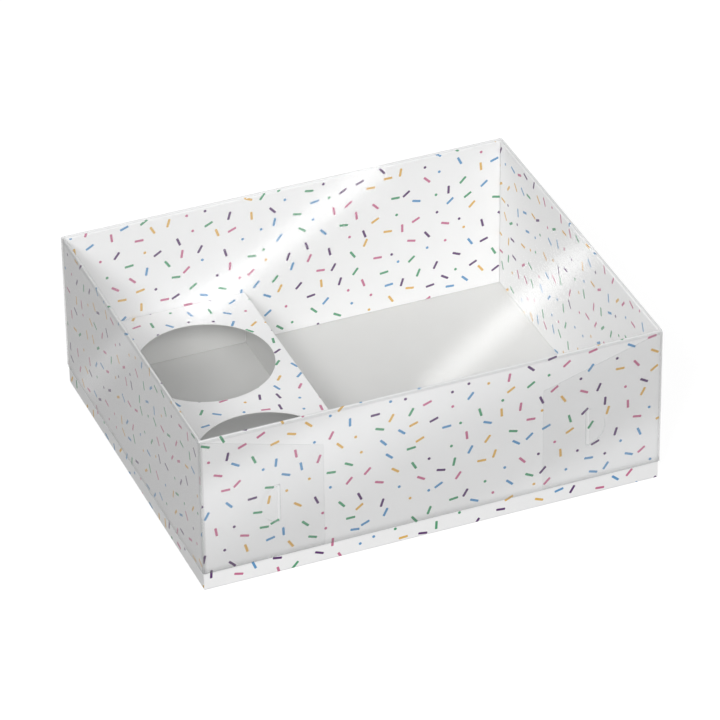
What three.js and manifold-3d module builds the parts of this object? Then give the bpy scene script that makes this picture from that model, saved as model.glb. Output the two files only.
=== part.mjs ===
// Cupcake box: a folded card tray, a folded card insert with two round holes, and a clear folded lid.
// Millimetres, +Z up. The origin is the centre of the tray's underside and the front faces -Y.

import * as THREE from 'three';
import { mergeVertices } from 'three/addons/utils/BufferGeometryUtils.js';
import Module from 'manifold-3d';

const wasm = await Module();
wasm.setup();

// Tray sizes
const trayWidth = 220;
const trayDepth = 178;
const trayHeight = 80;
const board = 0.35;
const plyPlay = 0.05;
const floorFoldInside = 0.35;
const cornerFoldInside = 0.25;
const innerPlyFootGap = 0.2;
const cornerPlay = 0.1;
const trayFlapLength = 45;
const trayFlapTaper = 4;

// Insert sizes
const insertWidth = 86.5;
const insertHeight = 28;
const insertPlay = 0.3;
const insertFoldInside = 0.35;
const holeDiameter = 64.4;
const holePitch = 78.4;
const holeFromOpenSide = 38;
const legCornerNotch = 0.6;
const legTaper = 1.5;

// Lid sizes
const film = 0.3;
const lidSidePlay = 0.4;
const lidFlapPlay = 0.3;
const filmPlay = 0.1;
const lidFoldInside = 0.6;
const skirtDepth = 71;
const frontEdgeInset = 0.3;
const lidFlapLength = 58;
const lidFlapTopInset = 1.2;
const lidFlapDrop = 16.4;
const tongueFromSide = 37.2;
const tongueAboveHem = 28.4;
const tongueHeight = 19.4;
const tongueReach = 9.2;
const tongueRun = 1;
const tongueFoldInside = 0.1;
const slitPlay = 0.15;

// Seats between the three pieces
const seatGap = 0.3;

// Fineness of round stretches
const foldSegments = 2;
const holeSegments = 28;
const tongueSegments = 10;

// Flat length that a fold shares with the panel beside it
const lap = 0.5;

// Extra reach of a cutting block past the sheet that it cuts
const cutReach = 2;

// Places worked out from the sizes
const trayWall = 3 * board + 2 * plyPlay;
const floorFold = board + floorFoldInside;
const rimFold = trayWall / 2;
const innerHalfWidth = trayWidth / 2 - trayWall;
const innerHalfDepth = trayDepth / 2 - trayWall;
const insertHalfDepth = innerHalfDepth - insertPlay;
const lidHalfWidth = trayWidth / 2 + lidSidePlay + film;
const lidFlapHalfDepth = trayDepth / 2 + lidFlapPlay + film;
const lidHalfDepth = lidFlapHalfDepth + filmPlay + film;
const lidFold = film + lidFoldInside;

// Solids from three.js geometry, joined and cut

const mergeTolerance = 1e-5;

/** Turns a closed geometry, placed by a matrix, into a solid. A mirroring matrix keeps the faces outward. */
function solidOf(geometry, matrix = new THREE.Matrix4()) {
  const plain = geometry.clone();
  plain.deleteAttribute('normal');
  plain.deleteAttribute('uv');
  plain.applyMatrix4(matrix);
  const merged = mergeVertices(plain, mergeTolerance);
  const triVerts = Uint32Array.from(merged.index.array);
  if (matrix.determinant() < 0) {
    for (let i = 0; i < triVerts.length; i += 3) {
      [triVerts[i], triVerts[i + 1]] = [triVerts[i + 1], triVerts[i]];
    }
  }
  const vertProperties = merged.attributes.position.array;
  return new wasm.Manifold(new wasm.Mesh({ numProp: 3, vertProperties, triVerts }));
}

/** Turns a solid back into a geometry with flat shading normals. */
function geometryOf(solid) {
  const mesh = solid.getMesh();
  const geometry = new THREE.BufferGeometry();
  geometry.setAttribute('position', new THREE.BufferAttribute(Float32Array.from(mesh.vertProperties), 3));
  geometry.setIndex(new THREE.BufferAttribute(Uint32Array.from(mesh.triVerts), 1));
  geometry.computeVertexNormals();
  return geometry;
}

/** Joins a list of solids into one. */
function joined(solids) {
  return solids.reduce((whole, solid) => whole.add(solid));
}

/** A block between two corners given as [x, y, z]. */
function block(low, high) {
  const size = high.map((value, i) => value - low[i]);
  const geometry = new THREE.BoxGeometry(...size);
  geometry.translate(...low.map((value, i) => value + size[i] / 2));
  return solidOf(geometry);
}

// Sections of a folded sheet

/**
 * Section of a sheet that follows a path of [u, v, outside fold radius] corners along one of its faces.
 * The sheet lies on the left of the path. The first and last corners need no radius.
 */
function foldedSection(corners, thickness) {
  const points = corners.map(([u, v]) => new THREE.Vector2(u, v));
  const headings = points.slice(1).map((point, i) => point.clone().sub(points[i]).normalize());
  const leftOf = (heading) => new THREE.Vector2(-heading.y, heading.x);
  const folds = headings.slice(1).map((leaving, i) => {
    const arriving = headings[i];
    const turn = Math.atan2(arriving.cross(leaving), arriving.dot(leaving));
    const outside = corners[i + 1][2];
    const side = Math.sign(turn);
    const near = side > 0 ? outside : outside - thickness;
    const far = side > 0 ? outside - thickness : outside;
    const centre = points[i + 1].clone()
      .addScaledVector(arriving, -near * Math.tan(Math.abs(turn) / 2))
      .addScaledVector(leftOf(arriving), side * near);
    const start = arriving.angle() - side * Math.PI / 2;
    return { centre, near, far, start, end: start + turn, clockwise: side < 0 };
  });
  const shape = new THREE.Shape();
  const first = points[0];
  const last = points[points.length - 1];
  const lastFar = last.clone().addScaledVector(leftOf(headings[headings.length - 1]), thickness);
  const firstFar = first.clone().addScaledVector(leftOf(headings[0]), thickness);
  shape.moveTo(first.x, first.y);
  for (const { centre, near, start, end, clockwise } of folds) {
    shape.absarc(centre.x, centre.y, near, start, end, clockwise);
  }
  shape.lineTo(last.x, last.y);
  shape.lineTo(lastFar.x, lastFar.y);
  for (const { centre, far, start, end, clockwise } of folds.reverse()) {
    shape.absarc(centre.x, centre.y, far, end, start, !clockwise);
  }
  shape.lineTo(firstFar.x, firstFar.y);
  const outline = shape.getPoints(foldSegments);
  const spaced = outline.filter((point, i) => point.distanceTo(outline.at(i - 1)) > mergeTolerance);
  return new THREE.Shape(spaced);
}

/** Section of a panel that turns down at its edge: outer face at u = 0, top face at v = top. */
function skirtSection(top, foot, outside, thickness) {
  return foldedSection([[outside + lap, top], [0, top, outside], [0, foot]], thickness);
}

/** Section, seen from above, of a wall of half width a whose ends turn inward as corner flaps. */
function flappedWallSection(halfWidth, flapLength, outside, thickness) {
  const path = [
    [-halfWidth, flapLength],
    [-halfWidth, 0, outside],
    [halfWidth, 0, outside],
    [halfWidth, flapLength],
  ];
  return foldedSection(path, thickness);
}

// Placing sections along the four sides

// Turn about Z that takes a wall from the front to each side
const front = 0;
const right = Math.PI / 2;
const back = Math.PI;
const left = -Math.PI / 2;

/** Matrix that takes a wall built on the plane y = 0, facing -Y, to one of the four sides. */
function toSide(side, halfSpan) {
  const turned = new THREE.Matrix4().makeRotationZ(side);
  return turned.multiply(new THREE.Matrix4().makeTranslation(0, -halfSpan, 0));
}

/** Runs an upright section (u inward, v up) along X, centred, with its outer face on y = 0. */
function alongSide(section, length) {
  const geometry = new THREE.ExtrudeGeometry(section, { depth: length, bevelEnabled: false });
  const upright = new THREE.Matrix4().makeBasis(
    new THREE.Vector3(0, 1, 0),
    new THREE.Vector3(0, 0, 1),
    new THREE.Vector3(1, 0, 0),
  );
  geometry.translate(0, 0, -length / 2);
  return geometry.applyMatrix4(upright);
}

/** Runs a section seen from above up from one height to another. */
function upward(section, low, high) {
  const geometry = new THREE.ExtrudeGeometry(section, { depth: high - low, bevelEnabled: false });
  return geometry.translate(0, 0, low);
}

/** Runs an outline in X and Z through a stretch of depth along Y. */
function throughDepth(outline, near, far, curveSegments = tongueSegments) {
  const geometry = new THREE.ExtrudeGeometry(outline, { depth: far - near, bevelEnabled: false, curveSegments });
  const facing = new THREE.Matrix4().makeRotationX(Math.PI / 2);
  return geometry.applyMatrix4(facing).translate(0, far, 0);
}

/**
 * Outline that slopes from an edge height at both ends to another height between the flap ends.
 * What lies past it, up or down to the limit, is cut from the flaps.
 */
function flapTaperOutline(halfWidth, flapEnd, edgeHeight, endHeight, limit) {
  const shape = new THREE.Shape([
    new THREE.Vector2(-halfWidth, edgeHeight),
    new THREE.Vector2(-flapEnd, endHeight),
    new THREE.Vector2(flapEnd, endHeight),
    new THREE.Vector2(halfWidth, edgeHeight),
    new THREE.Vector2(halfWidth, limit),
    new THREE.Vector2(-halfWidth, limit),
  ]);
  return shape;
}

// Tray: floor, four rolled walls, and corner flaps of the side walls inside the front and back walls

/** Section of a wall rolled over at the rim, from the foot of its inner ply to the floor. */
function rolledWallSection() {
  const path = [
    [trayWall, board + innerPlyFootGap],
    [trayWall, trayHeight, rimFold],
    [0, trayHeight, rimFold],
    [0, 0, floorFold],
    [floorFold + lap, 0],
  ];
  return foldedSection(path, board);
}

/** Front or back wall: the rim runs to the corners, the inner ply stops short of the side walls. */
function trayEndWall(side) {
  const place = toSide(side, trayDepth / 2);
  const wall = solidOf(alongSide(rolledWallSection(), trayWidth), place);
  const trimInner = 2 * board + 1.5 * plyPlay;
  const trimOuter = trayWall + cutReach;
  const trims = [-1, 1].map((hand) => {
    const width = trayWall + cornerPlay + cutReach;
    const geometry = new THREE.BoxGeometry(width, trimOuter - trimInner, trayHeight - rimFold - board);
    geometry.translate(
      hand * (innerHalfWidth - cornerPlay + width / 2),
      (trimInner + trimOuter) / 2,
      board + innerPlyFootGap / 2 + (trayHeight - rimFold - board) / 2,
    );
    return solidOf(geometry, place);
  });
  return trims.reduce((kept, trim) => kept.subtract(trim), wall);
}

/** Left or right wall between the end walls, with its two corner flaps. */
function traySideWall(side) {
  const place = toSide(side, trayWidth / 2);
  const wall = solidOf(alongSide(rolledWallSection(), 2 * (innerHalfDepth - cornerPlay)), place);
  const flapPlane = trayDepth / 2 - board - plyPlay;
  const cornerFold = board + cornerFoldInside;
  const section = flappedWallSection(flapPlane, trayFlapLength, cornerFold, board);
  const low = floorFold + cornerPlay;
  const high = trayHeight - rimFold - cornerPlay;
  const flapped = solidOf(upward(section, low, high), place);
  const cuts = [
    [low, low + trayFlapTaper, low - cutReach],
    [high, high - trayFlapTaper, high + cutReach],
  ].map(([edge, end, limit]) => trayFlapCut(edge, end, limit));
  return wall.add(cuts.reduce((kept, cut) => kept.subtract(cut), flapped));
}

/** Wedge that tapers the tray's corner flaps at their top or foot, through the whole depth. */
function trayFlapCut(edgeHeight, endHeight, limit) {
  const halfWidth = trayWidth / 2 - board - cornerFoldInside;
  const outline = flapTaperOutline(
    halfWidth,
    trayWidth / 2 - trayFlapLength,
    edgeHeight,
    endHeight,
    limit,
  );
  return solidOf(throughDepth(outline, -trayDepth, trayDepth));
}

function makeTray() {
  const floor = block(
    [-(trayWidth / 2 - floorFold), -(trayDepth / 2 - floorFold), 0],
    [trayWidth / 2 - floorFold, trayDepth / 2 - floorFold, board],
  );
  return joined([floor, trayEndWall(front), trayEndWall(back), traySideWall(left), traySideWall(right)]);
}

// Insert: a platform with two round holes on four tapered legs, with its foot plane at z = 0

/** One leg, folded down along a side of the platform and narrowed towards its foot. */
function insertLeg(side, halfSpan, halfLength) {
  const fold = board + insertFoldInside;
  const halfTop = halfLength - fold - legCornerNotch;
  const place = toSide(side, halfSpan);
  const leg = solidOf(alongSide(skirtSection(insertHeight, 0, fold, board), 2 * halfTop), place);
  const outline = new THREE.Shape([
    new THREE.Vector2(-(halfTop - legTaper), -cutReach),
    new THREE.Vector2(halfTop - legTaper, -cutReach),
    new THREE.Vector2(halfTop, insertHeight - fold),
    new THREE.Vector2(halfTop, insertHeight + cutReach),
    new THREE.Vector2(-halfTop, insertHeight + cutReach),
    new THREE.Vector2(-halfTop, insertHeight - fold),
  ]);
  return leg.intersect(solidOf(throughDepth(outline, -cutReach, fold + lap + cutReach), place));
}

function makeInsert() {
  const fold = board + insertFoldInside;
  const halfWidth = insertWidth / 2;
  const platform = new THREE.Shape([
    new THREE.Vector2(-(halfWidth - fold), -(insertHalfDepth - fold)),
    new THREE.Vector2(halfWidth - fold, -(insertHalfDepth - fold)),
    new THREE.Vector2(halfWidth - fold, insertHalfDepth - fold),
    new THREE.Vector2(-(halfWidth - fold), insertHalfDepth - fold),
  ]);
  for (const hand of [-1, 1]) {
    const hole = new THREE.Path();
    const centreX = halfWidth - holeFromOpenSide;
    hole.absarc(centreX, hand * holePitch / 2, holeDiameter / 2, 0, 2 * Math.PI, true);
    platform.holes.push(hole);
  }
  const settings = { depth: board, bevelEnabled: false, curveSegments: holeSegments };
  const sheet = new THREE.ExtrudeGeometry(platform, settings);
  sheet.translate(0, 0, insertHeight - board);
  return joined([
    solidOf(sheet),
    insertLeg(front, insertHalfDepth, halfWidth),
    insertLeg(back, insertHalfDepth, halfWidth),
    insertLeg(left, halfWidth, insertHalfDepth),
    insertLeg(right, halfWidth, insertHalfDepth),
  ]);
}

// Lid: top, four skirts, corner flaps and half-round tongues, with the underside of its top at z = 0

const hem = film - skirtDepth;
const tongueHeightCentre = hem + tongueAboveHem;
const slitX = lidHalfWidth - tongueFromSide;

/** Half-round outline whose straight side stands at a given x, bulging towards +X. */
function tongueOutline(straightX, centreX, play) {
  const shape = new THREE.Shape();
  shape.moveTo(straightX, tongueHeightCentre - tongueHeight / 2 - play);
  shape.absellipse(
    centreX,
    tongueHeightCentre,
    tongueReach + play,
    tongueHeight / 2 + play,
    -Math.PI / 2,
    Math.PI / 2,
    false,
    0,
  );
  shape.lineTo(straightX, tongueHeightCentre + tongueHeight / 2 + play);
  return shape;
}

/** Matrices that repeat a detail of the right front corner at all four corners. */
function fourCorners() {
  return [1, -1].flatMap((x) => [1, -1].map((y) => new THREE.Matrix4().makeScale(x, y, 1)));
}

/** Tongue of the right front flap: it leaves the flap, crosses the slit and lies on the skirt's face. */
function lidTongue() {
  const outside = film + tongueFoldInside;
  const flapFace = -lidFlapHalfDepth;
  const tongueFace = -(lidHalfDepth + filmPlay + film);
  const path = [
    [slitX - lap, flapFace],
    [slitX, flapFace, outside],
    [slitX + tongueRun, tongueFace, outside],
    [slitX + tongueReach + cutReach, tongueFace],
  ];
  const low = tongueHeightCentre - tongueHeight;
  const high = tongueHeightCentre + tongueHeight;
  const bent = solidOf(upward(foldedSection(path, film), low, high));
  const outline = throughDepth(tongueOutline(slitX - lap - cutReach, slitX, 0), tongueFace - cutReach, 0);
  return bent.intersect(solidOf(outline));
}

/** Left or right skirt with its two corner flaps, sloped along their top. */
function lidSideSkirt(side) {
  const place = toSide(side, lidHalfWidth);
  const straight = 2 * (lidFlapHalfDepth - lidFold);
  const skirt = solidOf(alongSide(skirtSection(film, hem, lidFold, film), straight), place);
  const section = flappedWallSection(lidFlapHalfDepth, lidFlapLength, lidFold, film);
  const flapTop = film - lidFlapTopInset;
  const flapped = solidOf(upward(section, hem, flapTop), place);
  const slope = flapTaperOutline(
    lidHalfWidth - lidFold,
    lidHalfWidth - lidFlapLength,
    flapTop,
    flapTop - lidFlapDrop,
    flapTop + cutReach,
  );
  return skirt.add(flapped.subtract(solidOf(throughDepth(slope, -trayDepth, trayDepth))));
}

/** Front or back skirt with a slit for each tongue. */
function lidEndSkirt(side) {
  const length = 2 * (lidHalfWidth - frontEdgeInset);
  const section = skirtSection(film, hem, lidFold, film);
  return solidOf(alongSide(section, length), toSide(side, lidHalfDepth));
}

function makeLid() {
  const top = block(
    [-(lidHalfWidth - lidFold), -(lidHalfDepth - lidFold), 0],
    [lidHalfWidth - lidFold, lidHalfDepth - lidFold, film],
  );
  const slit = new THREE.BoxGeometry(
    tongueRun + film + 2 * slitPlay,
    2 * film,
    tongueHeight + 2 * slitPlay,
  );
  slit.translate(slitX + (tongueRun + film) / 2, film / 2 - lidHalfDepth, tongueHeightCentre);
  const window = throughDepth(
    tongueOutline(slitX, slitX, slitPlay),
    -lidFlapHalfDepth - filmPlay / 2,
    -lidFlapHalfDepth + film + filmPlay,
  );
  const corners = fourCorners();
  const slits = joined(corners.map((corner) => solidOf(slit, corner)));
  const windows = joined(corners.map((corner) => solidOf(window, corner)));
  const tongues = joined(corners.map((corner) => solidOf(geometryOf(lidTongue()), corner)));
  const sides = joined([lidSideSkirt(left), lidSideSkirt(right)]).subtract(windows);
  const ends = joined([lidEndSkirt(front), lidEndSkirt(back)]).subtract(slits);
  return joined([top, sides, ends, tongues]);
}

// The three pieces in their places

const card = { roughness: 0.55, metalness: 0, flatShading: true };
const printedCard = new THREE.MeshStandardMaterial({ color: '#ececec', ...card });
const insertCard = new THREE.MeshStandardMaterial({ color: '#e6e6e7', ...card });
const clearFilm = new THREE.MeshStandardMaterial({
  color: '#f3f6f8',
  roughness: 0.06,
  metalness: 0,
  flatShading: true,
  transparent: true,
  opacity: 0.25,
});

/** A named mesh of one piece. */
function piece(name, solid, material) {
  const mesh = new THREE.Mesh(geometryOf(solid), material);
  mesh.name = name;
  return mesh;
}

const tray = piece('base_tray', makeTray(), printedCard);
const insert = piece('cupcake_insert', makeInsert(), insertCard);
insert.position.set(insertWidth / 2 - innerHalfWidth + insertPlay, 0, board + seatGap);
const lid = piece('clear_lid', makeLid(), clearFilm);
lid.position.set(0, 0, trayHeight + seatGap);

const box = new THREE.Group();
box.add(tray, insert, lid);

export default box;
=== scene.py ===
"""Cupcake box: a printed card tray with a two-well insert under a clear folded film lid.

The card and the film are modelled as the folded sheets that they are. Each sheet starts as one flat panel,
its walls and flaps are extruded from the panel's edges, its folds are rounded, and it then gets its
thickness, so that the printed side, the plain side and the cut edges are separate surfaces.
"""
from __future__ import annotations

import logging
import math
from dataclasses import dataclass, field
from enum import Enum
from typing import Callable

import bmesh
import bpy
from mathutils import Matrix, Vector


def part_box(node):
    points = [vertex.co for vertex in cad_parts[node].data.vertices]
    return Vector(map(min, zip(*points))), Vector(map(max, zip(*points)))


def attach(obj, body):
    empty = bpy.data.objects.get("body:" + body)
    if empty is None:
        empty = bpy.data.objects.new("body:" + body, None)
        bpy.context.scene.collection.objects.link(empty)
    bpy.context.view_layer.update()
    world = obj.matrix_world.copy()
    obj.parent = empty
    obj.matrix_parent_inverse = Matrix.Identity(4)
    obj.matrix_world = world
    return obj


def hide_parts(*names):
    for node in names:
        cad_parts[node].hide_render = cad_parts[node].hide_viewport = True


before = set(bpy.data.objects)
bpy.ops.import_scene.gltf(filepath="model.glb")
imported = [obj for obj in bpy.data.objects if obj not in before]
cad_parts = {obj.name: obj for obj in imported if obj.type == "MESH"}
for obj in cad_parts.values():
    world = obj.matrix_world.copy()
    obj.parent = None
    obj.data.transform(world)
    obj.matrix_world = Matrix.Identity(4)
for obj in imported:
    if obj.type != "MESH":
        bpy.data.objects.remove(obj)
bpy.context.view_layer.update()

logging.basicConfig(level=logging.INFO, format="%(message)s")
log = logging.getLogger("cupcake_box")

MM = 0.001
TOUCHING = 0.01 * MM
SHEET_UV = "sheet_mm"
CORNERS = tuple((x, y) for x in (-1, 1) for y in (-1, 1))


def linear(hex_colour: str) -> tuple[float, float, float, float]:
    """Turns an sRGB hex colour into linear values.

    Args:
        hex_colour: A colour such as "#c8678f".

    Returns:
        Linear red, green and blue, with an alpha of 1.
    """
    channels = [int(hex_colour[i:i + 2], 16) / 255 for i in (1, 3, 5)]
    red, green, blue = (
        c / 12.92 if c <= 0.04045 else ((c + 0.055) / 1.055) ** 2.4 for c in channels
    )
    return red, green, blue, 1.0


def add(tree: bpy.types.NodeTree, kind: str, inputs: dict | None = None, **settings) -> bpy.types.Node:
    """Adds a node with its settings, its values and its links.

    Args:
        tree: The node tree that gets the node.
        kind: The node's type name.
        inputs: Values or output sockets by input name or index.
        **settings: The node's own properties.

    Returns:
        The new node.
    """
    node = tree.nodes.new(kind)
    for name, value in settings.items():
        setattr(node, name, value)
    for name, value in (inputs or {}).items():
        if isinstance(value, bpy.types.NodeSocket):
            tree.links.new(value, node.inputs[name])
        else:
            node.inputs[name].default_value = value
    return node


def new_material(name: str) -> tuple[bpy.types.Material, bpy.types.NodeTree]:
    """Makes an empty node material.

    Args:
        name: The material's name.

    Returns:
        The material and its emptied node tree.
    """
    material = bpy.data.materials.new(name)
    material.use_nodes = True
    material.node_tree.nodes.clear()
    return material, material.node_tree


class SheetSide(Enum):
    """The surfaces of a sheet, in the order of its material slots."""

    FACE = 0
    BACK = 1
    CUT_EDGE = 2
    TUCKED = 3


# Finishes of the card


@dataclass(frozen=True)
class SprinklePrint:
    """Offset-printed confetti of round-ended dashes and dots, spread evenly and turned at random.

    Sizes are in millimetres on the sheet.
    """

    spacing: float = 9.2
    scatter: float = 0.5
    grid_turn: float = 0.31
    dash_length: float = 4.4
    dash_width: float = 1.22
    dash_corner: float = 0.36
    dot_width: float = 1.45
    dot_share: float = 0.25
    edge_softness: float = 0.12
    inks: tuple[str, ...] = ("#dcb05c", "#5e95c2", "#c46f90", "#529b72", "#5b3669")
    ink_shares: tuple[float, ...] = (0.21, 0.2, 0.22, 0.18, 0.19)

    def ink_and_cover(
        self, tree: bpy.types.NodeTree, sheet_mm: bpy.types.NodeSocket
    ) -> tuple[bpy.types.NodeSocket, bpy.types.NodeSocket]:
        """Lays the print over the sheet.

        Args:
            tree: The material's node tree.
            sheet_mm: The place on the flat sheet, in millimetres.

        Returns:
            The ink's colour, and how much of the board it covers.
        """
        turned = add(tree, "ShaderNodeVectorRotate", {"Vector": sheet_mm, "Angle": self.grid_turn},
                     rotation_type="Z_AXIS")
        cells = add(tree, "ShaderNodeTexVoronoi",
                    {"Vector": turned.outputs[0], "Scale": 1 / self.spacing, "Randomness": self.scatter},
                    voronoi_dimensions="2D", feature="F1")
        local = add(tree, "ShaderNodeVectorMath", {0: turned.outputs[0], 1: cells.outputs["Position"]},
                    operation="SUBTRACT")
        draw = add(tree, "ShaderNodeSeparateColor", {0: cells.outputs["Color"]})
        angle = add(tree, "ShaderNodeMath", {0: draw.outputs[0], 1: math.pi}, operation="MULTIPLY")
        own = add(tree, "ShaderNodeVectorRotate", {"Vector": local.outputs[0], "Angle": angle.outputs[0]},
                  rotation_type="Z_AXIS")
        parts = add(tree, "ShaderNodeSeparateXYZ", {0: own.outputs[0]})
        is_dash = add(tree, "ShaderNodeMath", {0: draw.outputs[2], 1: self.dot_share},
                      operation="GREATER_THAN")
        run = self.past_core(tree, parts.outputs[0], is_dash, self.dash_length / 2 - self.dash_corner)
        rise = self.past_core(tree, parts.outputs[1], is_dash, self.dash_width / 2 - self.dash_corner)
        offset = add(tree, "ShaderNodeCombineXYZ", {0: run, 1: rise})
        reach = add(tree, "ShaderNodeVectorMath", {0: offset.outputs[0]}, operation="LENGTH")
        radius = add(tree, "ShaderNodeMapRange",
                     {"Value": is_dash.outputs[0], "To Min": self.dot_width / 2, "To Max": self.dash_corner})
        inside = add(tree, "ShaderNodeMath", {0: radius.outputs[0], 1: reach.outputs["Value"]},
                     operation="SUBTRACT")
        cover = add(tree, "ShaderNodeMapRange",
                    {"Value": inside.outputs[0], "From Min": -self.edge_softness / 2,
                     "From Max": self.edge_softness / 2})
        ink = add(tree, "ShaderNodeValToRGB", {0: draw.outputs[1]})
        ink.color_ramp.interpolation = "CONSTANT"
        start = 0.0
        for index, (colour, share) in enumerate(zip(self.inks, self.ink_shares)):
            if index < 2:
                stop = ink.color_ramp.elements[index]
                stop.position = start
            else:
                stop = ink.color_ramp.elements.new(start)
            stop.color = linear(colour)
            start += share
        return ink.outputs["Color"], cover.outputs["Result"]

    def past_core(
        self, tree: bpy.types.NodeTree, value: bpy.types.NodeSocket, is_dash: bpy.types.Node, core: float
    ) -> bpy.types.NodeSocket:
        """How far a place lies past the core of a mark, which is a bar for a dash and a point for a dot.

        Args:
            tree: The material's node tree.
            value: The place along one of the mark's own directions.
            is_dash: The node that says 1 for a dash and 0 for a dot.
            core: Half the bar's size in that direction.

        Returns:
            The length past the core, or 0 inside it.
        """
        half = add(tree, "ShaderNodeMath", {0: is_dash.outputs[0], 1: core}, operation="MULTIPLY")
        size = add(tree, "ShaderNodeMath", {0: value}, operation="ABSOLUTE")
        past = add(tree, "ShaderNodeMath", {0: size.outputs[0], 1: half.outputs[0]}, operation="SUBTRACT")
        return add(tree, "ShaderNodeMath", {0: past.outputs[0], 1: 0.0}, operation="MAXIMUM").outputs[0]


@dataclass(frozen=True)
class FoldingBoxboard:
    """Solid bleached board: a smooth, clay-coated white face over short wood fibres.

    The coating gives it a soft sheen, and the fibres under it a faint unevenness.
    """

    name: str
    colour: str
    roughness: float = 0.5
    ior: float = 1.5
    specular: float = 0.12
    fibre_mm: float = 0.6
    cloud_mm: float = 9.0
    noise_range: tuple[float, float] = (0.6, 1.4)
    mottle: float = 0.012
    bump_mm: float = 0.006
    bump_strength: float = 0.35
    printed: SprinklePrint | None = None
    ink_roughness: float = 0.38

    def build(self) -> bpy.types.Material:
        """Makes the material, with its print where it has one.

        Returns:
            The material.
        """
        material, tree = new_material(self.name)
        place = add(tree, "ShaderNodeTexCoord")
        in_mm = add(tree, "ShaderNodeVectorMath", {0: place.outputs["Object"], "Scale": 1 / MM},
                    operation="SCALE")
        fibres = add(tree, "ShaderNodeTexNoise",
                     {"Vector": in_mm.outputs[0], "Scale": 1 / self.fibre_mm, "Detail": 3.0,
                      "Roughness": 0.6})
        clouds = add(tree, "ShaderNodeTexNoise",
                     {"Vector": in_mm.outputs[0], "Scale": 1 / self.cloud_mm, "Detail": 2.0})
        both = add(tree, "ShaderNodeMath", {0: fibres.outputs[0], 1: clouds.outputs[0]}, operation="ADD")
        shade = add(tree, "ShaderNodeMapRange",
                    {"Value": both.outputs[0], "From Min": self.noise_range[0],
                     "From Max": self.noise_range[1], "To Min": 1 - self.mottle,
                     "To Max": 1 + self.mottle})
        board = add(tree, "ShaderNodeVectorMath",
                    {0: linear(self.colour)[:3], "Scale": shade.outputs[0]}, operation="SCALE")
        bump = add(tree, "ShaderNodeBump",
                   {"Height": fibres.outputs[0], "Strength": self.bump_strength,
                    "Distance": self.bump_mm * MM})
        surface = add(tree, "ShaderNodeBsdfPrincipled",
                      {"Roughness": self.roughness, "IOR": self.ior,
                       "Specular IOR Level": self.specular, "Normal": bump.outputs[0]})
        if self.printed:
            sheet = add(tree, "ShaderNodeUVMap", uv_map=SHEET_UV)
            ink, cover = self.printed.ink_and_cover(tree, sheet.outputs[0])
            mixed = add(tree, "ShaderNodeMix", data_type="RGBA")
            factor, under, over = 0, 6, 7  # the Mix node's sockets for colours
            for index, source in ((factor, cover), (under, board.outputs[0]), (over, ink)):
                tree.links.new(source, mixed.inputs[index])
            gloss = add(tree, "ShaderNodeMapRange",
                        {"Value": cover, "To Min": self.roughness, "To Max": self.ink_roughness})
            tree.links.new(mixed.outputs[2], surface.inputs["Base Color"])
            tree.links.new(gloss.outputs[0], surface.inputs["Roughness"])
        else:
            tree.links.new(board.outputs[0], surface.inputs["Base Color"])
        add(tree, "ShaderNodeOutputMaterial", {"Surface": surface.outputs[0]})
        return material


# Finishes of the film


@dataclass(frozen=True)
class PaintedSheenBand:
    """A painted sheen: a pale band painted aslant over a skirt of the film, with painted shade beside it.

    The slope is in radians from level, and the sizes are in millimetres across the band.
    """

    slope: float
    centre: float
    above: float
    below: float


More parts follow.
